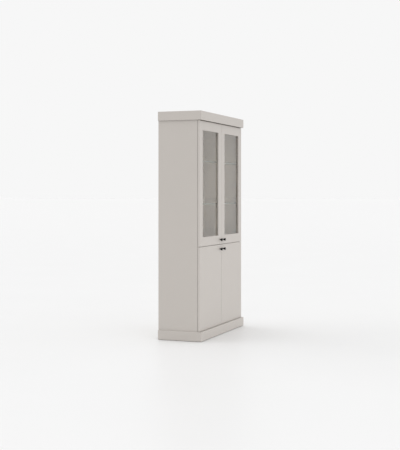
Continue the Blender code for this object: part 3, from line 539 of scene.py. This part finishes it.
KNOB_FOOT_RADIUS = 0.0062
KNOB_NECK_RADIUS = 0.0046
KNOB_FOOT_HEIGHT = 0.0025
KNOB_RIM_HEIGHT = 0.0060
KNOB_CROWN = 0.0012
KNOB_FOOT_ROUNDINGS = (0.0003, 0.0009)
KNOB_RIM_ROUNDING = 0.0022
KNOB_FLARE_STEPS = 24
KNOB_SEGMENTS = 96
BOLT_RADIUS = 0.0042
BOLT_HEIGHT = 0.0019


def knob_profile(head_radius, projection):
    """Radius and height of a turned knob, from the door outwards.

    The neck flares with height share t as neck + (head - neck) t^2 (3 - 2 t), up to the rim and its
    low crown.
    """
    rim_start = projection - KNOB_CROWN - KNOB_RIM_HEIGHT
    t = np.linspace(0, 1, KNOB_FLARE_STEPS)
    flare = KNOB_NECK_RADIUS + (head_radius - KNOB_NECK_RADIUS) * t ** 2 * (3 - 2 * t)
    heights = KNOB_FOOT_HEIGHT + (rim_start - KNOB_FOOT_HEIGHT) * t
    foot = rounded([(NEAR_AXIS, 0.0), (KNOB_FOOT_RADIUS, 0.0), (KNOB_FOOT_RADIUS, KNOB_FOOT_HEIGHT),
                    (KNOB_NECK_RADIUS, KNOB_FOOT_HEIGHT)], KNOB_FOOT_ROUNDINGS)
    rim_top = projection - KNOB_CROWN
    rim = rounded([(head_radius, rim_start), (head_radius, rim_top), (NEAR_AXIS, projection)],
                  KNOB_RIM_ROUNDING)
    return np.vstack([foot, np.stack([flare, heights], axis=-1), rim[1:]])


def knobs():
    """A turned knob in front of each door, and behind it the head of its bolt."""
    for tier in HINGES:
        for word in SIDES:
            where = f"{tier}_{word}"
            low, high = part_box("knob_" + where)
            centre = ((low.x + high.x) / 2, high.y, (low.z + high.z) / 2)
            shape = turned(knob_profile((high.x - low.x) / 2, high.y - low.y), KNOB_SEGMENTS)
            skin = stood(shape, centre, (0, -1, 0))
            piece("turned_knob_" + where, [skin], where + "_door", BLACK, ["knob_" + where])
            behind = (centre[0], door_back(where), centre[2])
            bolt = stood(screw_head(BOLT_RADIUS, BOLT_HEIGHT), behind, (0, 1, 0))
            piece("knob_bolt_" + where, [bolt], where + "_door", ZINC)


def door_back(where):
    """The Y of a door's back face."""
    tier, word = where.split("_")
    door = {"upper": "upper_door_frame_", "lower": "lower_door_"}[tier] + word
    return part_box(door)[1].y


# Hinges

CUP_WALL = 0.001
CUP_SEGMENTS = 160
CUP_UNDER_FLANGE = 0.0002
CUP_ROUNDING = 0.0012
FLANGE_RADIUS = 0.0185
FLANGE_THICKNESS = 0.001
FLANGE_EDGE = 0.0001
MOUTH_ROUNDINGS = (0.0004, 0.0006, 0.0018)
EAR_REACH = 0.0090
EAR_BEARING = math.radians(74)
EAR_SPREAD = math.radians(13)
EAR_SCREW_DISTANCE = 0.0232
NOTCH_SPREAD = math.radians(15)
NOTCH_SHARE = 0.9
NOTCH_FLOOR = 0.0012
EAR_SCREW_RADIUS = 0.0034
PLATE_SCREW_RADIUS = 0.0040
ARM_SCREW_RADIUS = 0.0031
LOW_HEAD = 0.0007
PLATE_FACE_FROM_SIDE = 0.0033
PLATE_SCREWS_APART = 0.032
ARM_SETTING_FROM_NOSE = 0.042
ARM_FIXING_FROM_NOSE = 0.070
ARM_ROUNDING = 0.0003
LINK_ROUNDING = 0.0002
PLATE_SETBACK = 0.037
SCREW_SINK = 0.0003


def cup_rows(flange_back, depth, inwards):
    """Rows of points on a drawn hinge cup with its flange, two screw ears and a notch for the link.

    A point of the profile (r, h) at angle a is at distance r + f reach ear(a), where f goes from 0 at
    the cup's wall to 1 on the flange's rim, and ear(a) = exp(-(angle from the ear / spread)^4). In the
    notch, n(a) = share exp(-(angle from the notch / spread)^16) of the flange is taken off: of its
    distance past the wall, and of its height above the notch's floor.
    """
    turn = np.linspace(0, math.tau, CUP_SEGMENTS, endpoint=False)
    wall = FLANGE_RADIUS - CUP_WALL - CUP_UNDER_FLANGE
    inner = wall - CUP_WALL
    floor = flange_back - depth
    under = flange_back - FLANGE_THICKNESS
    outside = rounded([(NEAR_AXIS, floor), (wall, floor), (wall, under)], CUP_ROUNDING)
    rim = [(FLANGE_RADIUS, under + FLANGE_EDGE), (FLANGE_RADIUS, flange_back)]
    inside = [(inner, flange_back), (inner, floor + CUP_WALL), (NEAR_AXIS, floor + CUP_WALL)]
    mouth = rounded(rim + inside, MOUTH_ROUNDINGS)
    line = np.vstack([outside, (wall, under), (FLANGE_RADIUS, under), mouth])
    on_rim = np.clip((line[:, 0] - wall) / (FLANGE_RADIUS - wall), 0, 1)[:, None]

    toward = np.angle(np.exp(1j * (turn - (0 if inwards > 0 else math.pi))))
    ears = np.exp(-((np.abs(toward) - EAR_BEARING) / EAR_SPREAD) ** 4)
    from_notch = np.abs(np.angle(np.exp(1j * (toward - math.pi))))
    notch = NOTCH_SHARE * np.exp(-(from_notch / NOTCH_SPREAD) ** 16)
    distance = line[:, :1] + on_rim * EAR_REACH * ears
    distance = distance - on_rim * notch * (distance - wall)
    height = line[:, 1:] - notch * np.clip(line[:, 1:] - (flange_back - NOTCH_FLOOR), 0, None)
    return np.stack([distance * np.cos(turn), distance * np.sin(turn), height], axis=-1)


def hinge_cup(where, count, side):
    """The cup pressed into a door, with the two screws in its ears."""
    node = f"hinge_cup_{where}_{count}"
    low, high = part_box(node)
    centre = np.array([(low.x + high.x) / 2, 0.0, (low.z + high.z) / 2])
    # Seen from behind the door, local across is -X, so a right door's inwards is +across.
    rows = cup_rows(high.y, high.y - low.y, side)
    skin = stood(rows, centre, (0, 1, 0))
    piece(f"drawn_cup_{where}_{count}", [skin], where + "_door", NICKEL, [node])
    heads = []
    for way in (-1, 1):
        across = -side * EAR_SCREW_DISTANCE * math.cos(EAR_BEARING)
        up = way * EAR_SCREW_DISTANCE * math.sin(EAR_BEARING)
        place = (centre[0] + across, high.y, centre[2] + up)
        heads.append(stood(screw_head(EAR_SCREW_RADIUS, LOW_HEAD), place, (0, 1, 0)))
    piece(f"cup_screws_{where}_{count}", heads, where + "_door", ZINC)


def hinge_arm(where, count, side):
    """The arm on its plate, with the plate's two screws, and the setting and fixing screws."""
    node = f"hinge_arm_{where}_{count}"
    low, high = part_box(node)
    softened_copy(node, f"pressed_arm_{where}_{count}", "carcass", ARM_ROUNDING, NICKEL)
    inwards = (-side, 0, 0)
    against_side, arm_top = (high.x, low.x) if side > 0 else (low.x, high.x)
    centre_z = (low.z + high.z) / 2
    plate_x = against_side - side * (PLATE_FACE_FROM_SIDE - SCREW_SINK)
    plate_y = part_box("middle_panel")[0].y + PLATE_SETBACK
    heads = []
    for way in (-1, 1):
        place = (plate_x, plate_y, centre_z + way * PLATE_SCREWS_APART / 2)
        heads.append(stood(screw_head(PLATE_SCREW_RADIUS, LOW_HEAD), place, inwards))
    for from_nose in (ARM_SETTING_FROM_NOSE, ARM_FIXING_FROM_NOSE):
        place = (arm_top, low.y + from_nose, centre_z)
        heads.append(stood(screw_head(ARM_SCREW_RADIUS, LOW_HEAD), place, inwards))
    piece(f"arm_screws_{where}_{count}", heads, "carcass", ZINC)


def hinges():
    """Every concealed hinge: its cup, its link and its arm."""
    for tier, hinge_count in HINGES.items():
        for word, side in SIDES.items():
            where = f"{tier}_{word}"
            for count in range(1, hinge_count + 1):
                hinge_cup(where, count, side)
                hinge_arm(where, count, side)
                link = f"hinge_link_{where}_{count}"
                shaped = f"pressed_link_{where}_{count}"
                softened_copy(link, shaped, where + "_links", LINK_ROUNDING, NICKEL)


# Shelf pins, buffers and the back's screws

PIN_RADIUS = 0.0027
PIN_REACH = 0.0083
PIN_ROW_SETBACK = 0.037
PIN_ROUNDING = 0.0005
PIN_IN_TONGUE = 0.0007
PIN_TONGUE_THICKNESS = 0.0015
PIN_TONGUE_HALF_WIDTH = 0.0038
SEAT_CLEARANCE = 0.0002
PIN_SEGMENTS = 32
BUFFER_RADIUS = 0.0030
BUFFER_HEIGHT = 0.0026
BUFFER_TOP_SHARE = 0.9
BUFFER_ROUNDINGS = (0.0002, 0.0016)
BUFFER_BEND_STEPS = 10
BUFFER_SEGMENTS = 40
BUFFER_FROM_EDGE = 0.012
BACK_SCREW_RADIUS = 0.0033
BACK_SCREW_PITCH = 0.24
BACK_SCREW_INSET = 0.0045
FLAT_HEAD = 0.0003


def tongue_rows(length, half_width, half_thickness):
    """Rows of points on a flat tongue, rounded at both ends.

    A section at angle a is w * (sign(cos a) |cos a|^(1/3), thickness / width * sign(sin a)
    |sin a|^(1/3)), where w is the half width that the rounded outline has there.
    """
    turn = np.linspace(0, math.tau, PIN_SEGMENTS, endpoint=False)
    wide = np.sign(np.cos(turn)) * np.abs(np.cos(turn)) ** (1 / 3)
    high = np.sign(np.sin(turn)) * np.abs(np.sin(turn)) ** (1 / 3)
    corners = [(0.0, 0.0), (half_width, 0.0), (half_width, length), (0.0, length)]
    w, reach = rounded(corners, half_thickness)[1:-1].T[:, :, None]
    return np.stack([w * wide, w * half_thickness / half_width * high, reach + 0 * turn], axis=-1)


def shelf_pins():
    """A steel pin with a flat tongue under each corner of each shelf."""
    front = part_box("middle_panel")[0].y + PIN_ROW_SETBACK
    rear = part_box("back_panel")[0].y - PIN_ROW_SETBACK
    shank = rounded([(NEAR_AXIS, 0.0), (PIN_RADIUS, 0.0), (PIN_RADIUS, PIN_REACH), (NEAR_AXIS, PIN_REACH)],
                    PIN_ROUNDING)
    tongue = tongue_rows(PIN_REACH, PIN_TONGUE_HALF_WIDTH, PIN_TONGUE_THICKNESS / 2)
    for shelf in ("upper_shelf_1", "upper_shelf_2", "lower_shelf_1"):
        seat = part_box(shelf)[0].z - SEAT_CLEARANCE
        skins = []
        for side in SIDES.values():
            for y in (front, rear):
                pin_z = seat - PIN_TONGUE_THICKNESS - PIN_RADIUS + PIN_IN_TONGUE
                tongue_z = seat - PIN_TONGUE_THICKNESS / 2
                pin = turned(shank, PIN_SEGMENTS)
                skins.append(stood(pin, (side * inner_x, y, pin_z), (-side, 0, 0)))
                skins.append(stood(tongue, (side * inner_x, y, tongue_z), (-side, 0, 0)))
        piece("pins_under_" + shelf, skins, "carcass", NICKEL)


def buffers():
    """Clear drops on the backs of the doors, where they meet the middle and bottom panels."""
    middle_low, middle_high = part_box("middle_panel")
    bottom_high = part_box("bottom_panel")[1]
    top_radius = BUFFER_TOP_SHARE * BUFFER_RADIUS
    drop = rounded([(NEAR_AXIS, 0.0), (BUFFER_RADIUS, 0.0), (top_radius, BUFFER_HEIGHT),
                    (NEAR_AXIS, BUFFER_HEIGHT)], BUFFER_ROUNDINGS, BUFFER_BEND_STEPS)
    for word, side in SIDES.items():
        upper_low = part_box("upper_door_frame_" + word)[0]
        lower_low, lower_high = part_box("lower_door_" + word)
        heights = {"upper": [(upper_low.z + middle_high.z) / 2],
                   "lower": [(middle_low.z + lower_high.z) / 2, (lower_low.z + bottom_high.z) / 2]}
        for tier, zs in heights.items():
            back = door_back(f"{tier}_{word}")
            x = side * (BUFFER_FROM_EDGE + BUFFER_RADIUS)
            skins = [stood(turned(drop, BUFFER_SEGMENTS), (x, back, z), (0, 1, 0)) for z in zs]
            piece(f"door_buffers_{tier}_{word}", skins, f"{tier}_{word}_door", CLEAR_PLASTIC)


def back_screws():
    """Flat-headed screws down both sides of the back panel, and into the bottom and middle panels."""
    middle_low, middle_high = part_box("middle_panel")
    columns = int((back_high.x - back_low.x) / BACK_SCREW_PITCH) + 1
    rows = int((back_high.z - back_low.z) / BACK_SCREW_PITCH) + 1
    xs = np.linspace(back_low.x + BACK_SCREW_INSET, back_high.x - BACK_SCREW_INSET, columns)
    zs = np.linspace(back_low.z + 2 * BACK_SCREW_INSET, back_high.z - 2 * BACK_SCREW_INSET, rows)
    places = [(x, z) for x in (xs[0], xs[-1]) for z in zs]
    places += [(x, z) for x in xs[1:-1] for z in (zs[0], (middle_low.z + middle_high.z) / 2)]
    head = screw_head(BACK_SCREW_RADIUS, FLAT_HEAD)
    skins = [stood(head, (x, back_high.y, z), (0, 1, 0)) for x, z in places]
    piece("back_panel_screws", skins, "carcass", ZINC)


dress_packed_nodes()
knobs()
hinges()
shelf_pins()
buffers()
back_screws()


# Floor, light and camera

FLOOR_REACH = 300.0
SUN_STRENGTH = 0.72
SUN_SPREAD = math.radians(62)
SUN_TOWARDS = (0.0, -0.643, -0.766)
# Each panel's name, watts, width and height, its place, and the point that it faces
PANELS_OFF_FLOOR = (("front_panel", 15.0, (2.4, 0.9), (-0.3, -3.2, 0.45), (-0.3, -0.2, 0.45)),
                    ("side_panel", 2.8, (2.2, 0.9), (-3.5, 0.0, 0.45), (-0.6, 0.0, 0.45)))
PANEL_ON_FLOOR = ("floor_fill", 1.25, (1.4, 0.6), (0.05, -0.85, 1.0), (0.05, -0.45, 0.0))
AIR_STRENGTH = 0.93
CAMERA_PLACE = (-9.0082, -3.4348, 1.3609)
CAMERA_BEARING = math.radians(-68.9458)
CAMERA_LENS_MM = 78.22
CAMERA_SHIFT = -0.06804


def studio_floor():
    """A wide flat floor of pale poured resin.

    To the eye: an even light grey with a faint blurred reflection.
    """
    corners = np.array([[-1, -1, 0], [1, -1, 0], [1, 1, 0], [-1, 1, 0]]) * FLOOR_REACH
    mesh = bpy.data.meshes.new("studio_floor")
    mesh.from_pydata(corners.tolist(), [], [[0, 1, 2, 3]])
    floor = bpy.data.objects.new("studio_floor", mesh)
    bpy.context.scene.collection.objects.link(floor)
    finish, tree = new_finish("poured_resin_floor")
    places = add_node(tree, "ShaderNodeTexCoord").outputs["Object"]
    drift = add_node(tree, "ShaderNodeTexNoise", {"Vector": places, "Scale": scale_for(RESIN_DRIFT_MM)})
    colour = add_node(tree, "ShaderNodeMixRGB", {
        0: drift, 1: linear(RESIN_CODES[0]), 2: linear(RESIN_CODES[1])})
    resin = add_node(tree, "ShaderNodeBsdfPrincipled", {
        "Base Color": colour, "Roughness": RESIN_ROUGHNESS, "IOR": RESIN_INDEX})
    add_node(tree, "ShaderNodeOutputMaterial", {"Surface": resin})
    mesh.materials.append(finish)
    return floor


def lamp(name, kind, strength, place, target):
    """A light that stands at a place and faces a target."""
    light = bpy.data.lights.new(name, kind)
    light.energy = strength
    stand = bpy.data.objects.new(name, light)
    bpy.context.scene.collection.objects.link(stand)
    stand.location = place
    stand.rotation_euler = (Vector(target) - Vector(place)).to_track_quat("-Z", "Y").to_euler()
    return stand


def soft_sun():
    """A broad far light from high behind the cabinet."""
    sun = lamp("light_from_behind", "SUN", SUN_STRENGTH, (0, 0, 0), SUN_TOWARDS)
    sun.data.angle = SUN_SPREAD
    sun.visible_glossy = False


def soft_panel(name, watts, sizes, place, target, floor, state):
    """A light panel that neither the camera nor a mirror sees.

    Its flag keeps its light off the floor where the state is EXCLUDE, and on the floor alone where
    it is INCLUDE.
    """
    panel = lamp(name, "AREA", watts, place, target)
    panel.data.shape = "RECTANGLE"
    panel.data.size, panel.data.size_y = sizes
    panel.visible_camera = False
    panel.visible_glossy = False
    flag = bpy.data.collections.new(name + "_flag")
    flag.objects.link(floor)
    flag.collection_objects[0].light_linking.link_state = state
    panel.light_linking.receiver_collection = flag


def studio_air():
    """Even white light from all round."""
    world = bpy.data.worlds.new("studio_air")
    world.use_nodes = True
    background = world.node_tree.nodes["Background"]
    background.inputs["Color"].default_value = linear(WHITE)
    background.inputs["Strength"].default_value = AIR_STRENGTH
    bpy.context.scene.world = world


def camera():
    """The photograph's view: from the front left, level, with the frame shifted down."""
    lens = bpy.data.cameras.new("camera")
    lens.lens = CAMERA_LENS_MM
    lens.shift_y = CAMERA_SHIFT
    lens.clip_end = 2 * FLOOR_REACH
    eye = bpy.data.objects.new("camera", lens)
    eye.location = CAMERA_PLACE
    eye.rotation_euler = (math.pi / 2, 0, CAMERA_BEARING)
    bpy.context.scene.collection.objects.link(eye)
    bpy.context.scene.camera = eye


floor = studio_floor()
soft_sun()
for panel in PANELS_OFF_FLOOR:
    soft_panel(*panel, floor, "EXCLUDE")
soft_panel(*PANEL_ON_FLOOR, floor, "INCLUDE")
studio_air()
camera()
bpy.context.scene.view_settings.view_transform = "Standard"
